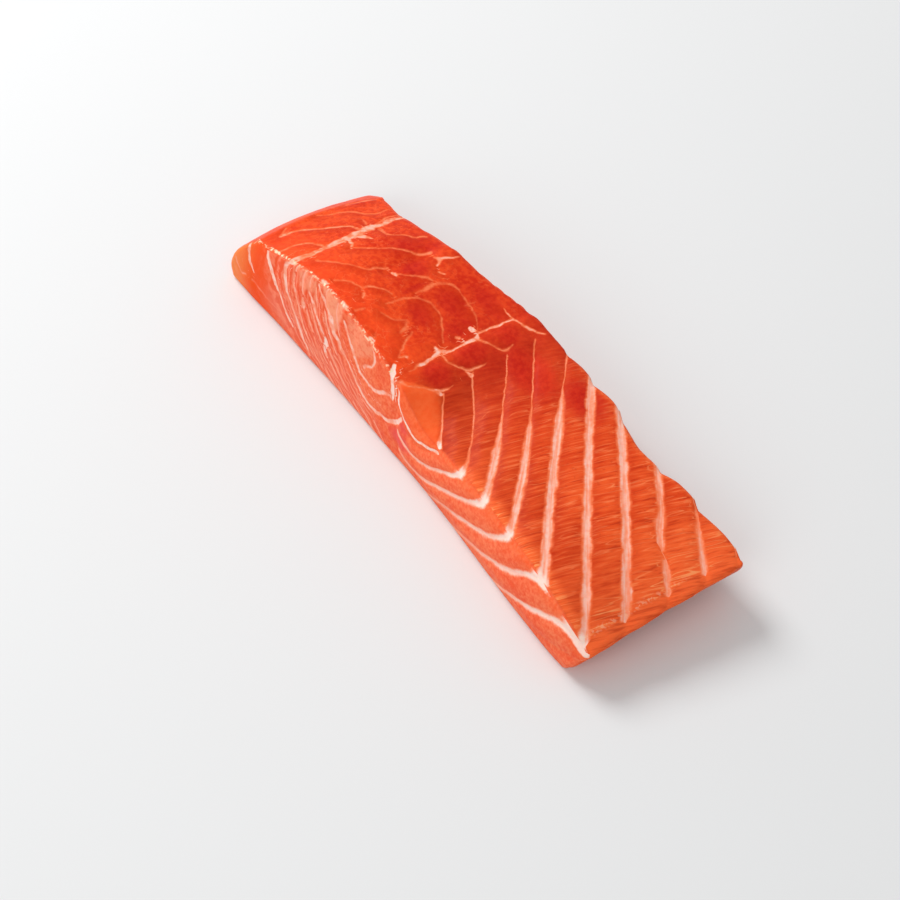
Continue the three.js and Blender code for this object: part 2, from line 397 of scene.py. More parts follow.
# %% Strokes
# Each stroke: how white it is from 0 to 1, and its points. A point on the top is X, Y and the width of
# the stroke there, all in millimetres.
TOP_STROKES = (
    # the seam between loin and belly, with its tee at the far cut
    (0.7, ((-8.5, 20.4, 0.6), (-8.5, 15.9, 0.6), (-9.4, 9.6, 0.7), (-8.4, 7.4, 1.3), (-8.6, 2.9, 0.7))),
    (0.72, ((-8.6, 2.9, 0.7), (-8.9, -0.6, 0.8), (-10, -3.2, 1.6), (-9.6, -6.4, 0.9), (-9.3, -10.4, 1))),
    (0.5, ((-9.3, -10.4, 1), (-9.4, -12.2, 0.6), (-9.6, -14, 0.2))),
    (0.6, ((-12.8, 20.2, 0.3), (-8.5, 20.5, 0.7), (-3, 22.2, 0.7), (0.5, 25, 0.5))),
    # arcs on the fold of the belly sheets, and the corners where the sheets start from them
    (0.5, ((-8.4, 7.4, 0.9), (-5.6, 9.5, 0.7), (-2.6, 11.2, 0.6), (-1, 12.4, 0.7), (-1, 15.3, 0.2))),
    (0.5, ((-9.4, -3.3, 0.9), (-6.6, -3.1, 0.5), (-3.9, -1.9, 0.5), (-1.6, 0.4, 0.8), (-0.6, 3, 0.7))),
    (0.5, ((-0.6, 3, 0.7), (-0.4, 5.8, 0.2))),
    (0.6, ((-1.2, -0.2, 1.2), (-0.2, 0.2, 1.5))),
    (0.5, ((-8.2, -17.6, 1.2), (-6.2, -16.6, 0.7), (-4.1, -14, 0.5), (-2.4, -12, 0.6), (-1, -10.6, 1))),
    (0.5, ((-1, -10.6, 1), (-0.3, -7.8, 0.6), (-0.1, -5.9, 0.2))),
    (0.65, ((-1.2, -10.6, 1.2), (0, -10.2, 1.5))),
    # the band of fat between loin and back
    (0.62, ((-60.2, 19.5, 0.8), (-60.6, 15, 1.9), (-60.6, 10, 2.8), (-60.4, 5, 3.1), (-59.9, 0.5, 2.9))),
    (0.6, ((-59.9, 0.5, 2.9), (-59.6, -4, 2.4), (-59, -9.5, 1.8), (-59.4, -14, 2.3), (-59.6, -18.5, 3))),
    # its branches
    (0.62, ((-59.5, 3, 3.2), (-57, 4, 1.8), (-55, 5.2, 0.5))),
    (0.6, ((-58.3, -0.4, 1.2), (-56.2, -1.2, 0.9), (-54.2, -2.4, 0.8))),
    (0.5, ((-61, 5, 1.4), (-65, 4, 1), (-68, -1, 0.9), (-73.2, -8.5, 0.9), (-74.2, -13.6, 1.3))),
    (0.5, ((-74.2, -13.6, 1.2), (-75, -12.4, 0.9), (-76.6, -10.4, 0.5))),
    (0.45, ((-60, -8, 1), (-62.5, -8.7, 0.9), (-65, -10.5, 0.8), (-66.6, -14, 0.8), (-66.8, -18.2, 0.9))),
    (0.45, ((-62.6, 19, 0.7), (-62.4, 14.5, 1), (-61, 10.5, 1.2))),
    # thin lines of the back
    (0.36, ((-66.8, 19.2, 0.7), (-66.8, 13.6, 0.9), (-72.5, 8.5, 0.9), (-74.5, 4, 0.9), (-76.5, 0.4, 0.7))),
    (0.4, ((-65.8, 9.3, 0.5), (-63, 8.3, 1))),
    (0.42, ((-74.2, 19, 1), (-75.6, 15.5, 0.9), (-76.9, 10.5, 0.7))),
    # walls of the loin's long cells
    (0.4, ((-55.3, -13.8, 0.9), (-49.5, -8.8, 0.7), (-43.7, -4.5, 0.7), (-43, -2, 1.1), (-41.6, 1.2, 1))),
    (0.42, ((-54.2, -1.8, 0.5), (-51, 2, 0.8), (-46.2, 8.5, 0.8), (-42.3, 11.6, 1.2), (-40.4, 15, 1.4))),
    (0.4, ((-58.4, 10, 1.2), (-54, 10, 0.9), (-51.5, 13.5, 0.9), (-48.8, 15.6, 1), (-47.4, 18.6, 1))),
    (0.4, ((-44.6, -14.6, 0.6), (-42.8, -12, 0.8), (-39.8, -10.3, 0.7), (-37.6, -9.8, 0.5))),
    (0.42, ((-37.5, -10, 0.6), (-37.4, -7.8, 0.8), (-35.2, -5.3, 0.7), (-32.2, -3.5, 0.5))),
    (0.36, ((-37.8, 1.8, 0.8), (-35.5, 4.6, 0.7), (-33, 7.5, 0.9), (-30.8, 9.2, 0.6))),
    # arcs of the loin's round cells
    (0.36, ((-30.2, -7, 0.7), (-29.3, -1.6, 0.8), (-27, 2.2, 0.8), (-23.5, 4.1, 0.8), (-18.5, 3.5, 0.7))),
    (0.4, ((-18.5, 3.5, 0.7), (-15.2, 1.2, 0.6), (-11.8, -0.8, 0.5))),
    (0.36, ((-29.2, 2.4, 0.6), (-29.1, 5.9, 1.5), (-28.9, 9, 1.6), (-27.4, 12.5, 1), (-24.4, 13.4, 0.6))),
    (0.36, ((-24.4, 13.4, 0.6), (-18.8, 12.8, 0.6), (-14.6, 11.9, 0.6),
            (-12.4, 11, 0.5), (-9.9, 9.6, 0.6))),
    (0.32, ((-28.5, -10, 0.5), (-25.3, -8.3, 0.6), (-23, -5.2, 0.7))),
    (0.36, ((-23, -5.2, 0.9), (-21.2, -6.8, 1.3), (-20.7, -8.8, 0.9))),
    (0.4, ((-19.2, -6, 0.6), (-17.3, -9.3, 0.7), (-15, -13.2, 0.6))),
    (0.3, ((-18.8, 11.5, 0.8), (-18.5, 15.2, 0.4))),
    (0.4, ((-32.2, -16, 0.9), (-31.7, -13.2, 0.6))),
    (0.32, ((-22.2, -17.3, 0.9), (-23.8, -14.9, 0.5))),
    # the flap at the far cut
    (0.58, ((-34.8, 20.8, 0.5), (-35.5, 18, 0.8), (-36.8, 15.5, 1.4))),
    (0.62, ((-38.2, 14.7, 1), (-36.5, 15.3, 1.5), (-34.9, 13.4, 0.9))),
    # flecks of fat
    (0.62, ((-39.5, 1.3, 0.8), (-38.4, 1.3, 1.5), (-37.4, 1.2, 0.8))),
    (0.6, ((-36.2, -10.3, 0.9), (-34.9, -11.6, 1))),
    (0.6, ((-32.6, 12.2, 0.9), (-31.2, 13.3, 0.7))),
    (0.9, ((-12.1, 8.4, 1.3), (-10.9, 8.2, 1.5))),
    (0.6, ((-11.5, 3.2, 0.9), (-10.9, 3.9, 0.9))),
    (0.7, ((-11.6, -3.6, 1), (-10.2, -3.2, 1))),
    (0.55, ((-14.3, -13.8, 0.6), (-13.2, -12, 1.2))),
    # crumbs of fat along the near rim
    (0.64, ((-46.4, -16.9, 0.9), (-45.2, -17.3, 1.4), (-44.3, -16.8, 0.9))),
    (0.64, ((-36.8, -16.9, 0.9), (-35.6, -17.2, 1.5), (-34.7, -16.7, 1.2))),
    (0.7, ((-23.4, -17.2, 1), (-22.4, -16.9, 1.5), (-21.6, -17.5, 1))),
    # where the first curl starts
    (1, ((-12.9, -16, 0.9), (-11.6, -17.4, 1.6), (-10.9, -18.6, 1.6))),
)

# Those on the near cut are X, Z and the width.
CUT_STROKES = (
    # curls where the seam comes over the rim, the second of which runs out into the innermost bowl
    (1, ((-10.9, 24.6, 1.6), (-10.2, 23, 1.3), (-9.4, 21.2, 1.3), (-8.7, 19.6, 1.2), (-8, 18.4, 0.6))),
    (0.95, ((-7.2, 23.6, 1), (-6.6, 21, 0.9), (-5.6, 18.7, 1), (-3.6, 17.2, 0.7), (-0.8, 16, 0.6))),
    (0.9, ((-0.8, 16, 0.6), (3.6, 14.5, 0.9), (8.5, 15.7, 0.9), (11.6, 16.8, 1.1), (13.9, 18.4, 1.5))),
    # a cell of the loin that the cut laid open
    (0.64, ((-20, 27, 0.7), (-18.7, 23.6, 1.1), (-19.2, 21.2, 0.9),
            (-20.8, 20.2, 0.9), (-21.9, 18.9, 1.2))),
    # the two large rings of the loin
    (0.65, ((-33.2, 26.3, 0.8), (-31.8, 24.2, 1.1), (-29.3, 21.6, 0.9),
            (-27.2, 19.7, 1.3), (-24.8, 17.2, 1))),
    (0.7, ((-24.8, 17.2, 1), (-22.5, 15.7, 0.8), (-19.5, 14.9, 1.1), (-15, 15.8, 1.1), (-12.3, 17.2, 1.3))),
    (0.6, ((-12.3, 17.2, 1.3), (-9.8, 18.5, 0.7))),
    (0.7, ((-46.5, 28.8, 0.8), (-43, 26, 1), (-40.2, 24.2, 1.3), (-38, 22.2, 2.6), (-36.6, 19.9, 1.5))),
    (0.65, ((-36.6, 19.9, 1.5), (-34.2, 18.5, 1.2), (-31.2, 16.2, 1),
            (-27.2, 13.9, 1.1), (-23, 10.6, 1.3))),
    (0.7, ((-23, 10.6, 1.3), (-19.5, 9.4, 1.2), (-15, 9, 1.2), (-10, 10, 1.2), (-6.4, 11.6, 1.3))),
    (0.8, ((-6.4, 11.6, 1.3), (-4.2, 13.3, 1.3), (-3.2, 15.4, 0.9))),
    # lines of the loin and back
    (0.65, ((-50, 24, 0.7), (-47.2, 21.9, 1.6), (-45, 19.5, 1.1), (-42.5, 17, 0.9), (-40.5, 15.5, 0.7))),
    (0.55, ((-57.5, 24.2, 1.2), (-57, 21.3, 1), (-54.5, 17.6, 0.8), (-51, 12.5, 0.8), (-47.5, 8.8, 0.7))),
    (0.5, ((-47.5, 8.8, 0.7), (-43.5, 5.3, 0.8), (-39.5, 2.6, 0.6))),
    (0.7, ((-60.8, 26.4, 1.3), (-62, 23, 1.3), (-60.2, 18.6, 1.4), (-58.8, 16, 0.9), (-55.3, 12.4, 1))),
    (0.7, ((-55.3, 12.4, 1), (-51.3, 8.3, 1.2), (-48.3, 5, 1.1), (-46, 2.6, 0.7))),
    (0.8, ((-71.2, 22.9, 0.8), (-69.6, 20.2, 1.4), (-66.2, 16.2, 1.4), (-63.5, 13.7, 1.1), (-60, 10.5, 1))),
    (0.75, ((-60, 10.5, 1), (-56.6, 7.3, 1.6), (-55.2, 6.2, 0.7))),
    (0.75, ((-80, 19.3, 0.9), (-79.3, 15.8, 1.2), (-77.8, 12.7, 1.1), (-75.7, 10.6, 0.7))),
    (0.5, ((-84.6, 9.7, 0.6), (-83.4, 7.8, 0.9), (-81.3, 6.3, 0.7), (-79.3, 7.2, 0.6))),
    # faint lines low on the cut
    (0.3, ((-76, 7.6, 0.8), (-70, 6.9, 0.9), (-63, 6.8, 0.7))),
    (0.45, ((-44.6, 11, 0.7), (-42, 8.4, 0.9), (-39.2, 5.6, 0.8), (-34, 4.4, 0.6), (-26, 3.1, 0.6))),
    (0.4, ((-34.6, 12.2, 0.8), (-30.5, 10.4, 0.7), (-26, 8, 0.8), (-21, 6.2, 0.7), (-15.5, 5.2, 0.5))),
    # flecks of fat
    (0.65, ((-51.9, 20, 0.9), (-50.9, 17.4, 1.3))),
    (0.9, ((-39.4, 14.6, 1.4), (-38.8, 13.4, 2.2))),
    (0.75, ((-39.6, 11.4, 1.1), (-39, 9.8, 1.2), (-37.8, 8.8, 0.6))),
)
print("strokes:", len(TOP_STROKES), "on the top,", len(CUT_STROKES), "on the near cut")

# %% [markdown]
# ## Finding the nearest stroke
#
# A tree of points (`kdtree`) finds the nearest of many points fast. Each stroke is first turned into a
# dense row of points on a smooth curve. What is stored on the mesh is an arrow to the nearest one, not
# only its distance. An arrow keeps its meaning between two points of the grid, so a line may be thinner
# than a face and still come out sharp.
#
# Fat doesn't run in a clean curve, so a noise bends each row in small kinks. The noise draws its places
# at random. Setting its seed first makes every run draw the same kinks.

# %% Nearest stroke
STROKE_STEP = 0.1
FAR_AWAY = 99.0
KINK = 0.4
KINK_SIZE = 2.4
FINE_KINK = 0.15
FINE_KINK_SIZE = 0.8
KINK_SEED = 1
noise.seed_set(KINK_SEED)


def dense_points(points):
    """A row of closely spaced points on a smooth curve through the given ones."""
    points = np.array(points, dtype=float)
    padded = with_ends(points)
    rows = []
    for index in range(len(points) - 1):
        before, start, end, after = padded[index : index + 4]
        steps = max(2, int(np.linalg.norm(end - start) / STROKE_STEP))
        t = np.linspace(0.0, 1.0, steps, endpoint=False)[:, None]
        rows.append(curve(before, start, end, after, t))
    rows.append(points[-1:])
    dense = np.concatenate(rows)
    for row in dense:
        kink = noise.noise_vector(Vector((row[0] / KINK_SIZE, row[1] / KINK_SIZE, 0.0)))
        fine_kink = noise.noise_vector(Vector((row[0] / FINE_KINK_SIZE, row[1] / FINE_KINK_SIZE, 5.0)))
        row[:2] += KINK * np.array(kink[:2]) + FINE_KINK * np.array(fine_kink[:2])
    return dense


def nearest_stroke(strokes, first, second, inside):
    """For each point: the arrow to the nearest stroke, and that stroke's width and whiteness."""
    rows = [dense_points(points) for _, points in strokes]
    white = np.concatenate([np.full(len(row), stroke[0]) for row, stroke in zip(rows, strokes)])
    dense = np.concatenate(rows)
    tree = kdtree.KDTree(len(dense))
    for index, (u, v, _) in enumerate(dense):
        tree.insert((u, v, 0.0), index)
    tree.balance()
    arrows = np.full((len(first), 2), FAR_AWAY)
    widths = np.zeros(len(first))
    whites = np.zeros(len(first))
    for index in np.flatnonzero(inside):
        found, which, _ = tree.find((first[index], second[index], 0.0))
        arrows[index] = (found.x - first[index], found.y - second[index])
        widths[index] = dense[which][2]
        whites[index] = white[which]
    return arrows, widths, whites


FACES_AWAY = 0.35
on_top = outward[:, 2] > FACES_AWAY
on_near_cut = ~on_top & (outward[:, 1] < -FACES_AWAY)
top_arrows, top_widths, top_whites = nearest_stroke(TOP_STROKES, x, y, on_top)
cut_arrows, cut_widths, cut_whites = nearest_stroke(CUT_STROKES, x, z, on_near_cut)
arrows = np.full((len(x), 3), FAR_AWAY)
flat = np.zeros(len(x))
arrows[on_top] = np.column_stack([top_arrows, flat])[on_top]
arrows[on_near_cut] = np.column_stack([cut_arrows[:, 0], flat, cut_arrows[:, 1]])[on_near_cut]
line_gap = np.minimum(np.linalg.norm(arrows, axis=1), FAR_AWAY)
line_width = np.where(on_top, top_widths, cut_widths)
line_white = np.where(on_top, top_whites, cut_whites)
print("points within 1 mm of a stroke:", int((line_gap < 1.0).sum()))

# %% [markdown]
# ## How far apart and how wide the sheets are
#
# The count tells where a sheet is, but not how far away it is in millimetres. The slope of the count
# along the surface gives that: where it climbs by a tenth of a sheet per millimetre, the sheets are ten
# millimetres apart. The slope comes from asking for the count a little further along each axis.

# %% Sheet pitch
# One sheet is broken: beyond this Y it jumps a little nearer to the middle, and then it comes back.
FAULT_SHEET = 7
FAULT_Y = 7.2
FAULT_SHIFT = 0.12
PROBE = 0.05
CLOSEST_SHEETS = 1.5
WIDEST_SHEETS = 30
SQUARE_ON = 0.7
count = layer_count(x, y, depth)
fault = FAULT_SHIFT * smoothstep(y, FAULT_Y, FAULT_Y + 0.5)
fault = fault * falls(y, FAULT_Y + 2.0, FAULT_Y + 9.0)
count = count + fault * (np.abs(count - FAULT_SHEET) < 0.5)
slope_x = (layer_count(x + PROBE, y, depth) - layer_count(x - PROBE, y, depth)) / (2 * PROBE)
slope_y = (layer_count(x, y + PROBE, depth) - layer_count(x, y - PROBE, depth)) / (2 * PROBE)
slope_z = (layer_count(x, y, depth + PROBE) - layer_count(x, y, depth - PROBE)) / (2 * PROBE)
slope_x[np.abs(outward[:, 0]) > SQUARE_ON] = 0.0
slope_y[np.abs(outward[:, 1]) > SQUARE_ON] = 0.0
slope_z[outward[:, 2] > SQUARE_ON] = 0.0
slope = np.sqrt(slope_x**2 + slope_y**2 + slope_z**2)
sheet_pitch = 1.0 / np.clip(slope, 1 / WIDEST_SHEETS, 1 / CLOSEST_SHEETS)
print("sheet pitch, mm:", np.round(np.percentile(sheet_pitch, (5, 50, 95)), 1))

# %% [markdown]
# ## The width of the sheets
#
# Near the rim a belly sheet is a white band, and towards the far cut it thins to an orange line. On the
# knife cuts it is narrower, and it gathers into a bright tip where it comes over the rim. The loin's own
# sheets hardly show on the top. Each point gets the width and the whiteness of the sheet beside it, and
# whatever hides that sheet takes the width away again.

# %% Sheet width
# From the innermost belly sheet outwards. A sheet is a wide band on this side of the given Y, and thin
# beyond it.
BAND_WIDTHS = (1.1, 1.5, 2.1, 2.3, 2.7, 2.5, 2.8, 2.1, 2.3)
BAND_FROM = (-16.0, -17.5, -4.0, 2.0, 14.5, 30.0, 32.0, 34.0, 19.7)
BAND_WHITES = (0.52, 0.6, 0.64, 0.66, 0.69, 0.66, 0.67, 0.6, 0.62)
BAND_GROWS_OVER = 5.0
THIN_WIDTH = 0.5
THIN_WHITE = 0.46
CUT_WIDTHS = (0.9, 1.1, 1.3, 1.4, 1.5, 1.3, 1.4, 1.4, 1.4)
CUT_WHITES = (0.66, 0.66, 0.7, 0.7, 0.75, 0.85, 0.75, 0.75, 0.75)
TIP_SIZE = 1.3
TIP_GROWTH = 0.9
LOIN_SHEET_WIDTH = 0.8
LAST_NEAR_SHEET = 5
HIDDEN_OVER = 0.1
BELLY_RIM = 3.0

seam = from_seam(x, depth)
in_belly = seam > 0.0
under = outward[:, 2] < -0.5
number = np.arange(len(BAND_WIDTHS))
near_cut_share = smoothstep(-outward[:, 1], 0.2, 0.8)
cut_share = np.maximum(near_cut_share, smoothstep(outward[:, 1], 0.7, 0.95))
back_end_share = smoothstep(-outward[:, 0], 0.2, 0.8)
near_gap = y - near_side
rim_gap = np.where(outward[:, 1] < -0.7, depth, near_gap)
tip = bell(rim_gap, TIP_SIZE)
band_from = np.interp(count, number, BAND_FROM)
thinned = smoothstep(y, band_from - BAND_GROWS_OVER, band_from + BAND_GROWS_OVER)
top_width = mix(np.interp(count, number, BAND_WIDTHS), THIN_WIDTH, thinned)
top_white = mix(np.interp(count, number, BAND_WHITES), THIN_WHITE, thinned)
top_white = np.maximum(top_white, falls(near_gap, 0.5, 4.0))
cut_width = np.interp(count, number, CUT_WIDTHS)
cut_white = mix(1.0, np.interp(count, number, CUT_WHITES), smoothstep(depth, 1.0, 5.0))
cut_white = cut_white * mix(1.0, 0.6, smoothstep(depth, 9.0, 19.0))
sheet_width = mix(top_width, cut_width, cut_share) + TIP_GROWTH * tip
sheet_white = np.where(in_belly, mix(top_white, cut_white, cut_share), 0.5)
loin_near = near_cut_share * smoothstep(line_gap, 0.9, 1.8) * falls(count, 9.3, 9.5)
loin_edge = np.maximum(np.maximum(cut_share - near_cut_share, back_end_share), loin_near)
broken = bell(y - FAULT_Y - 0.2, 0.6) * (np.abs(count - FAULT_SHEET) < 0.5) * (1 - cut_share)
sheet_width = sheet_width * (1 - 0.8 * broken)
sheet_width = np.where(in_belly, sheet_width, LOIN_SHEET_WIDTH * loin_edge)
folded = falls(x, BELLY_RIDGE, BELLY_RIDGE + 1.0) * (1 - cut_share)
sheet_width = sheet_width * (1 - folded)
sheet_width = sheet_width * smoothstep(np.abs(seam), 0.3, 1.0)
first_near = np.where(in_belly, 0.4, 2.4)
last_near = np.where(in_belly, LAST_NEAR_SHEET + 0.4, FAR_AWAY)
before_first = falls(count, first_near, first_near + HIDDEN_OVER)
after_last = smoothstep(count, last_near, last_near + HIDDEN_OVER)
hidden = near_cut_share * np.maximum(after_last, before_first)
sheet_width = sheet_width * (1 - hidden)
belly_rim = belly_end - BELLY_RIM
sheet_width = sheet_width * (1 - smoothstep(x, belly_rim, belly_rim + 1.0) * (1 - cut_share))
print("widest sheet, mm:", round(float(sheet_width.max()), 1))

# %% [markdown]
# ## Relief
#
# Raw flesh isn't smooth. Each layer swells a little out of the cut between its sheets, every stroke lies
# in a slight groove, and the whole surface is gently uneven. The relief is in the mesh, since it also
# shows in the outline. The fine grain of the fibres is left to the material.

# %% Relief
SEAM_WIDTH = 2.5
BELLY_SWELL = 0.6
LOIN_SWELL = 0.3
SWELL_POWER = 0.7
GROOVE = 0.22
GROOVE_REACH = 0.7
LUMPS = ((0.16, 6.0, 3.7), (0.07, 2.2, 11.3))
RELIEF_FROM = (0.05, 0.3)
CENTRING = np.array([0.467, 0.006, 0.0])


def uneven(size, seed):
    """Smooth random values between about -1 and 1 at every point, in patches of the given size."""
    values = [
        noise.noise(Vector((px / size + seed, py / size, pz / size)))
        for px, py, pz in zip(x, y, z)
    ]
    return np.array(values)


share = count - np.floor(count)
swell = np.abs(np.sin(np.pi * share)) ** SWELL_POWER
swell = swell * np.where(in_belly, BELLY_SWELL, LOIN_SWELL * cut_share)
swell = swell * np.minimum(1.0, np.abs(seam) / SEAM_WIDTH)
groove = GROOVE * bell(line_gap, GROOVE_REACH) * line_white
lumps = sum(height * uneven(size, seed) for height, size, seed in LUMPS)
relief = np.where(under, 0.0, (swell - groove + lumps) * smoothstep(up, *RELIEF_FROM))
skin = np.column_stack([x, y, z]) + outward * relief[:, None]
skin[:, 2] = np.maximum(skin[:, 2], 0.0)
skin += CENTRING
mesh.vertices.foreach_set("co", (skin * MM).ravel())
mesh.update()
print("relief, mm:", round(float(relief.min()), 2), "to", round(float(relief.max()), 2))

# %% [markdown]
# ## Dark patches and painted pale facets
#
# In some cells the loin's top is a deeper red. On the near cut some facets are pale: painted highlights,
# where the cut fibres catch the light. Such patches could be painted on an image, but they are few and
# soft, so each is given by its place and size instead. A dark cell is a round spot with a flat middle. A
# facet has straight sides, so it is given by its corners.

# %% Dark and pale patches
# Dark cells on the top: the middle in X and Y, and half the size both ways.
DARK_CELLS = (
    (-21.0, 9.0, 7.0, 4.5),
    (-13.0, 6.0, 4.5, 8.0),
    (-23.0, -0.5, 5.0, 3.5),
    (-16.0, 18.0, 9.0, 3.5),
    (-47.0, 13.0, 4.5, 8.0),
    (-37.0, 8.0, 4.5, 4.5),
    (-4.8, 4.0, 4.0, 6.0),
    (-4.5, 16.0, 4.5, 4.5),
    (-5.0, -8.0, 4.5, 4.5),
    (9.0, 14.0, 12.0, 7.0),
    (24.0, 20.0, 9.0, 6.0),
    (-31.0, 3.0, 0.9, 5.0),
    (-42.5, 17.0, 3.0, 4.0),
)
# Facets on the near cut, painted highlights where the cut fibres catch the light: how pale, and the
# corners in X and Z.
LIT_FACETS = (
    (0.9, ((-46.3, 30.6), (-42.0, 25.2), (-35.8, 18.6), (-34.2, 26.5), (-33.8, 30.4))),
    (0.6, ((-33.3, 29.5), (-31.8, 24.0), (-26.0, 18.5), (-19.4, 23.5), (-19.4, 28.4))),
    (0.6, ((-57.0, 28.6), (-54.5, 22.0), (-47.4, 24.5), (-46.6, 29.8))),
)
FACET_EDGE = 1.2
# Pinker spots on the near cut, given like the dark cells.
PINK_CELLS = ((-0.9, 14.7, 2.6, 2.8), (-1.5, 9.0, 5.0, 2.6))
ROSY_CELLS = ((-34.0, 7.0, 17.0, 7.0), (-58.0, 9.0, 10.0, 6.0))


def facets_of(facets, first, second):
    """Patches with straight sides, as the palest of them."""
    palest = np.zeros(len(first))
    for paleness, corners in facets:
        inside = np.full(len(first), FAR_AWAY)
        for (u, v), (next_u, next_v) in zip(corners, corners[1:] + corners[:1]):
            length = math.hypot(next_u - u, next_v - v)
            off = ((first - u) * (next_v - v) - (second - v) * (next_u - u)) / length
            inside = np.minimum(inside, -off)
        palest = np.maximum(palest, paleness * smoothstep(inside, 0.0, FACET_EDGE))
    return palest


def patches_of(cells, first, second):
    """Soft round patches with a flat middle, as the largest of their bells."""
    bells = [
        np.exp(-((((first - u) / width) ** 2 + ((second - v) / height) ** 2) ** 2))
        for u, v, width, height in cells
    ]
    return np.max(bells, axis=0)


print("patches:", len(DARK_CELLS), "dark,", len(LIT_FACETS), "pale,", len(PINK_CELLS + ROSY_CELLS), "pink")

# %% [markdown]
# ## Where each colour belongs
#
# The top, the cuts, the rims and the two ends differ in colour. For each colour a share from 0 to 1 is
# worked out at every point, and the material mixes by it. A share could be built from nodes as well, but
# here it can use the sizes, the layers and the distance to each rim that are known already.

# %% Shares of colour
top_share = 1 - cut_share
away_from_rim = smoothstep(near_gap, 2.0, 9.0)
deep_red = bell(x + 6.0, 32.0) * smoothstep(y, -11.0, 8.0) * 0.55
deep_red = np.maximum(deep_red, patches_of(DARK_CELLS, x, y)) * away_from_rim * top_share
deep_red = deep_red * mix(1.0, smoothstep(count, -0.3, 0.1), in_belly * (y < -4.0))
# Painted glow: gold where light comes through the thin rims, the far rim and the band at the belly end.
gold = smoothstep(x, 12.0, 34.0) * falls(near_gap, 0.8, 5.5)
# Painted glow: amber where light comes through the round back.
amber = falls(x, -86.0, -74.0) * near_cut_share
end_band = 0.9 * smoothstep(x, belly_end - 3.6, belly_end - 2.6)
far_gap = far_side + up * scallop - y
far_gold = 0.7 * smoothstep(x, 4.0, 24.0) * falls(far_gap, 0.2, 1.6)
gold = np.maximum(gold, np.maximum(end_band, far_gold)) * top_share
below_rim = 0.4 * smoothstep(x, 6.0, 24.0) * falls(depth, 0.5, 4.5) * near_cut_share
gold = np.maximum(gold, below_rim)
# The pale facets are painted highlights on the near cut.
pale = facets_of(LIT_FACETS, x, z) * near_cut_share
# Painted glow along the top's near rim.
glow = 0.8 * falls(near_gap, 5.0, 15.0) * top_share
orange = falls(x, -72.0, -58.0) * np.maximum(cut_share, back_end_share)
pink = patches_of(PINK_CELLS, x, z) * cut_share
rosy = patches_of(ROSY_CELLS, x, z) * cut_share
back_share = falls(x, -16.0, 4.0)
threads = smoothstep(x, -2.0, 26.0) * mix(0.55, 1.0, smoothstep(y, -14.0, 4.0)) * top_share
threads = threads * smoothstep(count, 0.0, 0.5) * falls(x, belly_end - 4.0, belly_end - 3.0)
stripes = near_cut_share * ~in_belly * smoothstep(count, 2.4, 3.6) * falls(count, 10.0, 10.8)
# Painted glow: the innermost cell beside the seam, on the top and on the cut, glows orange with light that
# comes through.
inner_cell = near_cut_share * in_belly * falls(count, -0.1, 0.1) * smoothstep(x, -9.5, -7.5)
top_cell = top_share * in_belly * falls(count, -0.15, 0.05) * falls(near_gap, 6.0, 12.0)
top_cell = top_cell * smoothstep(x - y, 8.6, 9.4)
inner_glow = np.maximum(0.9 * top_cell, 0.55 * inner_cell)
# Painted glow over the thin belly end.
gold = np.maximum(gold, 0.8 * smoothstep(x, 62.0, 84.0) * top_share)

# Painted shadow: under each sheet the flesh is darkest, as if the layer above shaded it, and it grows
# lighter towards the next one.
share = count - np.floor(count)
belly_shade = falls(share, 0.08, 0.55) * smoothstep(x, 0.0, 30.0) * in_belly
under_line = smoothstep(arrows[:, 1] / np.maximum(line_gap, 0.01), 0.0, 0.6)
loin_shade = bell(line_gap, 3.2) * under_line * falls(x, -12.0, -8.0) * on_top
shade = np.maximum(belly_shade, loin_shade) * top_share
from_rim = np.where(under, FAR_AWAY, near_gap - depth)
# Painted glints: small bright highlights along the near rim and across the belly end.
rim_glints = smoothstep(x, -79.0, -77.0) * falls(x, -12.0, -9.5)
end_glints = 0.3 * bell(belly_end - x - 3.9, 0.6) * falls(y, -4.0, 14.0) * top_share
cut_face = np.maximum(cut_share, back_end_share * falls(up, 0.45, 0.75))
print("points of the cut faces:", int((cut_face > 0.5).sum()), "of", len(x))

# %% [markdown]
# ## What the material needs to know
#
# The finished numbers are stored on the points of the mesh as attributes, and the material reads them by
# name.


# %% Attributes
def store(name, values):
    """Stores one number, or one arrow, for every point of the mesh."""
    kind = "FLOAT_VECTOR" if values.ndim == 2 else "FLOAT"
    field = "vector" if values.ndim == 2 else "value"
    attribute = mesh.attributes.new(name, kind, "POINT")
    attribute.data.foreach_set(field, values.astype(np.float32).ravel())


for name, values in (
    ("sheet_count", count),
    ("sheet_pitch", sheet_pitch),
    ("sheet_width", sheet_width),
    ("sheet_white", sheet_white),
    ("line_arrow", arrows),
    ("line_gap", line_gap),
    ("line_width", line_width),
    ("line_white", line_white),
    ("cut_face", cut_face),
    ("deep_red", deep_red),
    ("gold", gold),
    ("amber", amber),
    ("glow", glow),
    ("inner_glow", inner_glow),
    ("pale", pale),
    ("rosy", rosy),
    ("orange", orange),
    ("pink", pink),
    ("back", back_share),
    ("threads", threads),
    ("stripes", stripes),
    ("shade", shade),
    ("from_rim", from_rim),
    ("rim_glints", rim_glints),
    ("end_glints", end_glints),
):
    store(name, values)
print("attributes:", [attribute.name for attribute in mesh.attributes])

# %% [markdown]
# ## Node helpers
#
# A material is a graph of nodes. Written out one by one, its nodes would fill pages, so a few helpers
# each add one node and hand back its output. A value that is plugged in may be a number or the output of
# another node.

# %% Node helpers
flesh = bpy.data.materials.new("raw salmon flesh")
flesh.use_nodes = True
nodes = flesh.node_tree.nodes
links = flesh.node_tree.links
nodes.clear()


def plug(socket, value):
    if isinstance(value, bpy.types.NodeSocket):
        links.new(value, socket)
    else:
        socket.default_value = value


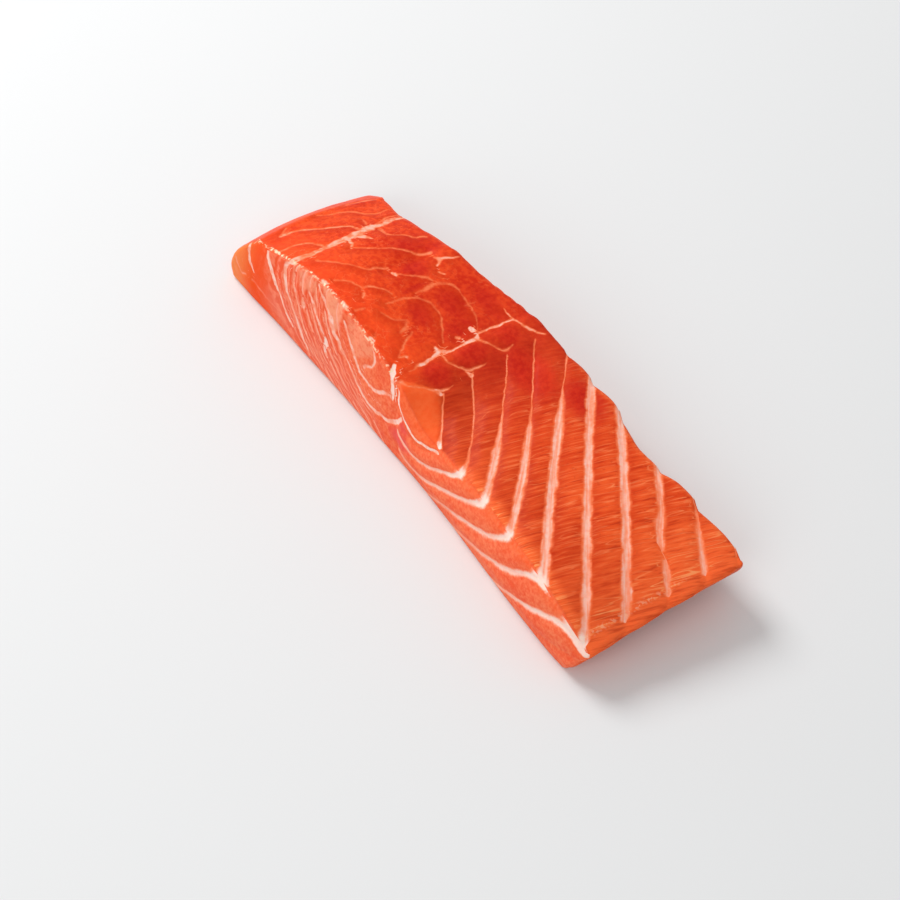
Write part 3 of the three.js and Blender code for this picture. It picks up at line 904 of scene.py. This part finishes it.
def maths(operation, *values):
    """A Math node."""
    node = nodes.new("ShaderNodeMath")
    node.operation = operation
    for socket, value in zip(node.inputs, values):
        plug(socket, value)
    return node.outputs[0]


def times(first, second):
    """The product of two values."""
    return maths("MULTIPLY", first, second)


def stored(name, output="Fac"):
    """An attribute of the mesh."""
    node = nodes.new("ShaderNodeAttribute")
    node.attribute_name = name
    return node.outputs[output]


def fade(value, low, high, start=0.0, end=1.0):
    """Fades from start to end as value goes from low to high."""
    node = nodes.new("ShaderNodeMapRange")
    node.interpolation_type = "SMOOTHSTEP"
    names = ("Value", "From Min", "From Max", "To Min", "To Max")
    for name, given in zip(names, (value, low, high, start, end)):
        plug(node.inputs[name], given)
    return node.outputs["Result"]


def grain(place, per_mm, detail=2.0, roughness=0.5):
    """A noise texture from 0 to 1, with so many patches per millimetre."""
    node = nodes.new("ShaderNodeTexNoise")
    plug(node.inputs["Vector"], place)
    node.inputs["Scale"].default_value = per_mm
    node.inputs["Detail"].default_value = detail
    node.inputs["Roughness"].default_value = roughness
    return node.outputs["Fac"]


def tint(share, low, high):
    """A colour between two others."""
    node = nodes.new("ShaderNodeMix")
    node.data_type = "RGBA"
    plug(node.inputs["Factor"], share)
    plug(node.inputs["A"], low)
    plug(node.inputs["B"], high)
    return node.outputs["Result"]


def moved(place, turn=(0.0, 0.0, 0.0), size=(1.0, 1.0, 1.0)):
    """A Mapping node that turns or stretches a pattern."""
    node = nodes.new("ShaderNodeMapping")
    plug(node.inputs["Vector"], place)
    node.inputs["Rotation"].default_value = turn
    node.inputs["Scale"].default_value = size
    return node.outputs["Vector"]


def paint(red, green, blue):
    """A colour given as on a screen, from 0 to 255, turned into the linear values that a shader wants."""
    shares = [value / 255 for value in (red, green, blue)]
    linear = [share / 12.92 if share <= 0.04045 else ((share + 0.055) / 1.055) ** 2.4 for share in shares]
    return (*linear, 1.0)


print("node helpers ready")

# %% [markdown]
# ## The grain of the muscle
#
# Muscle is a bundle of fibres. On the top they lie in the surface and show as fine streaks from one sheet
# to the next. On the knife cut they are seen nearly end on, as a finer, softer grain. Both come from one
# noise that is squeezed across the fibres and stretched along them, because it is one bundle that the
# knife cut at two angles.

# %% Fibres
FIBRE_ANGLE = math.radians(71.0)
place = nodes.new("ShaderNodeTexCoord").outputs["Object"]
place_mm = moved(place, size=(1000.0, 1000.0, 1000.0))
along_fibres = moved(place_mm, turn=(0.0, 0.0, -FIBRE_ANGLE))
streaks = grain(moved(along_fibres, size=(0.1, 1.0, 1.0)), 1.15, detail=2.5, roughness=0.6)
bundles = grain(moved(along_fibres, size=(0.15, 1.0, 1.0)), 0.45, detail=1.0)
fibres = grain(moved(along_fibres, size=(0.06, 1.0, 1.0)), 0.55, detail=1.0, roughness=0.5)
xyz = nodes.new("ShaderNodeSeparateXYZ")
links.new(place_mm, xyz.inputs[0])
band_place = nodes.new("ShaderNodeCombineXYZ")
plug(band_place.inputs["X"], times(stored("sheet_count"), 14.0))
plug(band_place.inputs["Y"], times(xyz.outputs["Y"], 0.16))
plug(band_place.inputs["Z"], times(xyz.outputs["Z"], 0.16))
band_streaks = grain(band_place.outputs["Vector"], 1.0, detail=1.5)
patches = grain(place_mm, 0.07, detail=2.0)
speckle = grain(place_mm, 1.4, detail=2.0, roughness=0.6)
wobble = grain(place_mm, 0.35, detail=1.0)
mottle = grain(place_mm, 0.7, detail=2.0)
print("fibres at", round(math.degrees(FIBRE_ANGLE)), "degrees to the length")

# %% [markdown]
# ## Where the fat is
#
# The count of sheets becomes a distance in millimetres, and the distance becomes a white band. Its edge
# isn't ruled: the fibres poke into it, so the streaks of the muscle push the edge in and out. The strokes
# are drawn the same way, from the length of their arrows.

# %% Fat
kinks = grain(place_mm, 0.25, detail=1.5)
count_node = maths("MULTIPLY_ADD", maths("SUBTRACT", kinks, 0.5), 0.14, stored("sheet_count"))
from_whole = maths("ABSOLUTE", maths("SUBTRACT", maths("FRACT", maths("ADD", count_node, 0.5)), 0.5))
sheet_distance = times(from_whole, stored("sheet_pitch"))
ragged = times(maths("SUBTRACT", streaks, 0.5), 0.8)
wavy = times(maths("SUBTRACT", wobble, 0.5), 0.9)
uneven_edge = maths("ADD", ragged, wavy)
half_sheet = times(stored("sheet_width"), 0.5)
rough_share = fade(stored("sheet_width"), 0.4, 2.2, 0.4, 1.0)
sheet_softness = fade(stored("sheet_width"), 0.5, 2.2, 0.25, 0.75)
sheet_edge = maths("SUBTRACT", sheet_distance, half_sheet)
sheet_edge = maths("MULTIPLY_ADD", uneven_edge, rough_share, sheet_edge)
sheet = fade(sheet_edge, sheet_softness, times(sheet_softness, -1.0))
sheet = times(sheet, fade(stored("sheet_width"), 0.15, 0.4))
sheet = times(sheet, stored("sheet_white"))
band_dip = fade(stored("cut_face"), 0.0, 1.0, 0.76, 1.0)
sheet = times(sheet, fade(band_streaks, 0.35, 0.62, band_dip))

arrow_length = nodes.new("ShaderNodeVectorMath")
arrow_length.operation = "LENGTH"
links.new(stored("line_arrow", "Vector"), arrow_length.inputs[0])
half_line = times(stored("line_width"), 0.5)
line_edge = maths("SUBTRACT", arrow_length.outputs["Value"], half_line)
line_edge = maths("MULTIPLY_ADD", uneven_edge, 0.6, line_edge)
softness = fade(stored("line_white"), 0.4, 0.9, 0.5, 0.25)
line = fade(line_edge, softness, times(softness, -1.0))
line = times(line, fade(stored("line_gap"), 4.0, 3.0))
line = times(line, stored("line_white"))
line = times(line, fade(grain(place_mm, 0.5, detail=2.0), 0.36, 0.58, 0.68, 1.0))
fat = maths("MAXIMUM", sheet, line)
fat = times(fat, fade(mottle, 0.25, 0.7, 0.84, 1.0))
# Painted glints: tiny bright highlights dotted along the rims, where wet flesh catches the light.
on_the_rim = fade(maths("ABSOLUTE", maths("SUBTRACT", stored("from_rim"), 0.1)), 0.7, 0.3)
clusters = fade(grain(place_mm, 0.2, detail=1.0), 0.42, 0.6, 0.35, 1.0)
rim_glints = times(times(on_the_rim, stored("rim_glints")), clusters)
dots = fade(grain(place_mm, 1.3, detail=0.5), 0.5, 0.6)
glint = times(maths("MAXIMUM", rim_glints, stored("end_glints")), dots)
print("fat: sheets and strokes")

# %% [markdown]
# ## The colour of the flesh
#
# Salmon isn't one orange. The loin's top is a deep red, the belly is orange with darker streaks, the rim
# glows with light that comes through the thin flesh, a glow that is painted in, and the knife cut is paler
# and pinker because it scatters more light. Each colour is mixed in where it belongs.

# %% Paints
INNER_DARK = paint(170, 40, 17)
INNER_LIGHT = paint(210, 71, 33)
BELLY_DARK = paint(212, 62, 24)
BELLY_LIGHT = paint(243, 99, 47)
THREAD = paint(250, 138, 86)
# Painted glow: golden threads where light comes through thin flesh.
GOLD_THREAD = paint(253, 172, 108)
GAP = paint(168, 40, 18)
# Painted shade under each sheet.
SHADE = paint(190, 46, 14)
STRIPE_DARK = paint(236, 84, 48)
STRIPE_LIGHT = paint(250, 138, 106)
BACK_DARK = paint(208, 45, 20)
BACK_LIGHT = paint(244, 87, 38)
# Painted glow of light through the thin near rim.
GLOW = paint(255, 84, 38)
DEEP_DARK = paint(188, 32, 22)
DEEP_LIGHT = paint(217, 57, 31)
CUT_DARK = paint(237, 76, 40)
CUT_LIGHT = paint(249, 130, 88)
CUT_ROSY = paint(248, 142, 122)
CUT_ORANGE = paint(243, 80, 26)
CUT_PINK = paint(230, 78, 84)
# Painted highlight of the pale facets.
FACET_HIGHLIGHT = paint(251, 158, 122)
# Painted glow: gold, amber and orange where light comes through thin flesh.
GOLD = paint(249, 107, 54)
AMBER = paint(247, 132, 70)
INNER_GLOW = paint(246, 90, 38)
LINE_EDGE = paint(248, 126, 78)
CUT_LINE_EDGE = paint(252, 150, 118)
FAT_CORE = paint(253, 216, 202)
# The paint of the painted glints.
GLINT = paint(255, 226, 188)
print("paints ready")

# %% [markdown]
# ## The colour of the top
#
# On the belly the streaks of the fibres run between a dark and a light orange, with pale threads and dark
# gaps among them. On the loin the colour lies in blotches instead, with a few faint lines. Under each
# sheet a painted shade makes the flesh a little darker, as if each layer shaded the next. Along the loin's
# near rim a painted glow lightens it.

# %% Top colour
streak_share = fade(streaks, 0.36, 0.64)
patch_share = fade(patches, 0.3, 0.7)
bundle_share = times(fade(bundles, 0.3, 0.7), 0.25)
grainy = maths("ADD", times(speckle, 0.2), times(patch_share, 0.8))
half_and_half = maths("MULTIPLY_ADD", patch_share, 0.3, bundle_share)
half_and_half = maths("MULTIPLY_ADD", streak_share, 0.45, half_and_half)
outer_colour = tint(half_and_half, BELLY_DARK, BELLY_LIGHT)
inner_colour = tint(half_and_half, INNER_DARK, INNER_LIGHT)
belly_colour = tint(stored("threads"), inner_colour, outer_colour)
contour = maths("ABSOLUTE", maths("SUBTRACT", fibres, 0.5))
thread = times(fade(contour, 0.026, 0.0), fade(bundles, 0.3, 0.6, 0.4, 1.0))
thread = maths("MAXIMUM", thread, times(fade(streaks, 0.58, 0.7), 0.6))
gap = maths("MAXIMUM", fade(streaks, 0.42, 0.3), fade(mottle, 0.6, 0.75, 0.0, 0.6))
belly_colour = tint(times(gap, times(stored("threads"), 0.5)), belly_colour, GAP)
belly_colour = tint(times(thread, times(stored("threads"), 0.7)), belly_colour, THREAD)
blotches = maths("ADD", times(fade(mottle, 0.35, 0.65), 0.45), times(grainy, 0.55))
# The loin's near rim is tinted towards GLOW, a painted glow of light through thin flesh.
back_colour = tint(times(stored("glow"), 0.55), tint(blotches, BACK_DARK, BACK_LIGHT), GLOW)
faint = fade(maths("ABSOLUTE", maths("SUBTRACT", grain(place_mm, 0.17, detail=3.0), 0.5)), 0.012, 0.0)
back_colour = tint(times(faint, 0.3), back_colour, LINE_EDGE)
deep_colour = tint(blotches, DEEP_DARK, DEEP_LIGHT)
colour = tint(stored("back"), belly_colour, back_colour)
colour = tint(stored("deep_red"), colour, deep_colour)
# Painted shadow: the flesh under each sheet is darkened, as if the layer above shaded it.
colour = tint(times(stored("shade"), 0.45), colour, SHADE)
print("top colour mixed")

# %% [markdown]
# ## The colour of the cuts
#
# A cut through the fibres scatters more light, so it is paler and has a grain instead of streaks. Between
# the sheets of the loin it is striped, because those sheets lie close together.

# %% Cut colour
STRIPES_PER_SHEET = 2
cut_grain = maths("ADD", times(fade(speckle, 0.25, 0.75), 0.3), times(fade(mottle, 0.3, 0.7), 0.45))
cut_grain = maths("MULTIPLY_ADD", patch_share, 0.25, cut_grain)
cut_colour = tint(cut_grain, CUT_DARK, CUT_LIGHT)
cut_colour = tint(times(stored("pink"), 0.7), cut_colour, CUT_PINK)
cut_colour = tint(stored("orange"), cut_colour, CUT_ORANGE)
cut_colour = tint(times(stored("rosy"), 0.5), cut_colour, CUT_ROSY)
stripe_turns = round(STRIPES_PER_SHEET * 2 * math.pi, 2)
stripe_wave = maths("SINE", maths("MULTIPLY_ADD", stored("sheet_count"), stripe_turns, times(wobble, 9.0)))
stripe_colour = tint(fade(stripe_wave, -0.5, 0.9), STRIPE_DARK, STRIPE_LIGHT)
stripe_share = times(stored("stripes"), fade(mottle, 0.3, 0.6, 0.25, 0.7))
cut_colour = tint(stripe_share, cut_colour, stripe_colour)
# Painted highlight on the pale facets of the near cut.
cut_colour = tint(times(stored("pale"), fade(mottle, 0.25, 0.6, 0.5, 1.0)), cut_colour, FACET_HIGHLIGHT)
colour = tint(stored("cut_face"), colour, cut_colour)
print("cut colour mixed")

# %% [markdown]
# ## Rims, glow and fat
#
# Where the flesh is thin, light comes through it, and that glow is painted into the colour: the rims are
# golden, the round back is amber, and the cell beside the seam glows orange. The fat goes on last, with an
# orange edge round its white core, because flesh and fat are grown together. Painted glints, small bright
# highlights, go on the rims last of all.

# %% Rims and fat
colour = tint(times(stored("gold"), fade(streaks, 0.25, 0.6, 0.35, 1.0)), colour, GOLD)
golden_hair = times(fade(stored("gold"), 0.3, 0.9, 0.0, 0.65), thread)
golden_hair = times(golden_hair, fade(stored("threads"), 0.0, 0.4))
colour = tint(golden_hair, colour, GOLD_THREAD)
colour = tint(stored("inner_glow"), colour, tint(blotches, INNER_GLOW, GOLD))
colour = tint(stored("amber"), colour, AMBER)
line_edge_colour = tint(stored("cut_face"), LINE_EDGE, CUT_LINE_EDGE)
fat_colour = tint(fade(fat, 0.28, 0.92), line_edge_colour, FAT_CORE)
colour = tint(fade(fat, 0.03, 0.5), colour, fat_colour)
colour = tint(times(glint, 0.85), colour, GLINT)
print("flesh colours mixed")

# %% [markdown]
# ## The shader
#
# Raw fish is moist and a little clear. Subsurface scattering lets light run under the surface and come
# out nearby, which softens the lines of fat. A strong gloss would lay a pale haze over every small slope
# of the relief, so only a trace of it is kept. The bump adds the grain that is finer than the mesh.

# %% Shader
bump = nodes.new("ShaderNodeBump")
bump.inputs["Strength"].default_value = 0.6
bump.inputs["Distance"].default_value = 0.2 * MM
bump_height = maths("MULTIPLY_ADD", streaks, 0.6, times(speckle, 0.3))
plug(bump.inputs["Height"], maths("MULTIPLY_ADD", fat, -0.4, bump_height))

shader = nodes.new("ShaderNodeBsdfPrincipled")
plug(shader.inputs["Base Color"], colour)
plug(shader.inputs["Normal"], bump.outputs["Normal"])
for name, value in (
    ("Roughness", 0.38),
    ("Specular IOR Level", 0.03),
    ("Subsurface Weight", 0.15),
    ("Subsurface Radius", (1.0, 0.4, 0.2)),
    ("Subsurface Scale", 1.2 * MM),
    ("Coat Weight", 0.01),
    ("Coat Roughness", 0.12),
):
    shader.inputs[name].default_value = value
output = nodes.new("ShaderNodeOutputMaterial")
links.new(shader.outputs["BSDF"], output.inputs["Surface"])
print("nodes in the material:", len(nodes))

# %% [markdown]
# ## The finished piece
#
# The mesh becomes an object at the origin. It rides on the only body there is and takes the place of the
# plain solid.

# %% Piece
mesh.materials.append(flesh)
mesh.polygons.foreach_set("use_smooth", [True] * len(mesh.polygons))
portion = bpy.data.objects.new("salmon_portion", mesh)
bpy.context.scene.collection.objects.link(portion)
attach(portion, "root")
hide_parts("salmon_fillet")
print("piece:", portion.name, [round(side, 4) for side in portion.dimensions])

# %% [markdown]
# ## Floor, light and camera
#
# The portion lies on a plain pale floor. A wide soft light hangs above the back of the fish, and a weaker
# one stands beside the camera. An even white room fills the shadows a little, and not more, so that the
# relief still shows.

# %% Floor
bm = bmesh.new()
bmesh.ops.create_grid(bm, x_segments=1, y_segments=1, size=3.0)
floor_mesh = bpy.data.meshes.new("floor")
bm.to_mesh(floor_mesh)
bm.free()
floor = bpy.data.objects.new("floor", floor_mesh)
bpy.context.scene.collection.objects.link(floor)
pale = bpy.data.materials.new("pale floor")
pale.use_nodes = True
pale_shader = pale.node_tree.nodes["Principled BSDF"]
pale_shader.inputs["Base Color"].default_value = (0.76, 0.765, 0.768, 1.0)
pale_shader.inputs["Roughness"].default_value = 0.6
pale_shader.inputs["Specular IOR Level"].default_value = 0.2
floor_mesh.materials.append(pale)
print("floor:", floor.name)

# %% Lights
TARGET = Vector((3.97, -9.49, 0.0)) * MM


def soft_light(name, away, distance, size, power):
    """A round area light that looks at the portion from the given direction."""
    data = bpy.data.lights.new(name, "AREA")
    data.shape = "DISK"
    data.size = size
    data.energy = power
    light = bpy.data.objects.new(name, data)
    light.location = TARGET + Vector(away).normalized() * distance
    light.rotation_euler = Vector(away).to_track_quat("Z", "Y").to_euler()
    bpy.context.scene.collection.objects.link(light)


soft_light("key", (-0.72, -0.05, 0.69), 1.2, 0.6, 10.2)
soft_light("fill", (0.35, -0.8, 0.6), 1.4, 1.0, 5.5)
world = bpy.data.worlds.new("studio")
world.use_nodes = True
room = world.node_tree.nodes["Background"]
room.inputs["Color"].default_value = (1.0, 1.0, 1.0, 1.0)
room.inputs["Strength"].default_value = 0.5
bpy.context.scene.world = world
bpy.context.scene.view_settings.view_transform = "Standard"
print("lights: key, fill and an even room")

# %% Camera
AZIMUTH = math.radians(54.5)
ELEVATION = math.radians(52.4)
DISTANCE = 0.625
back = Vector(
    (
        math.sin(AZIMUTH) * math.cos(ELEVATION),
        -math.cos(AZIMUTH) * math.cos(ELEVATION),
        math.sin(ELEVATION),
    )
)
lens = bpy.data.cameras.new("camera")
lens.lens = 90.0
lens.sensor_width = 36.0
camera = bpy.data.objects.new("camera", lens)
camera.location = TARGET + back * DISTANCE
camera.rotation_euler = back.to_track_quat("Z", "Y").to_euler()
bpy.context.scene.collection.objects.link(camera)
bpy.context.scene.camera = camera
print("camera at", [round(value, 3) for value in camera.location])
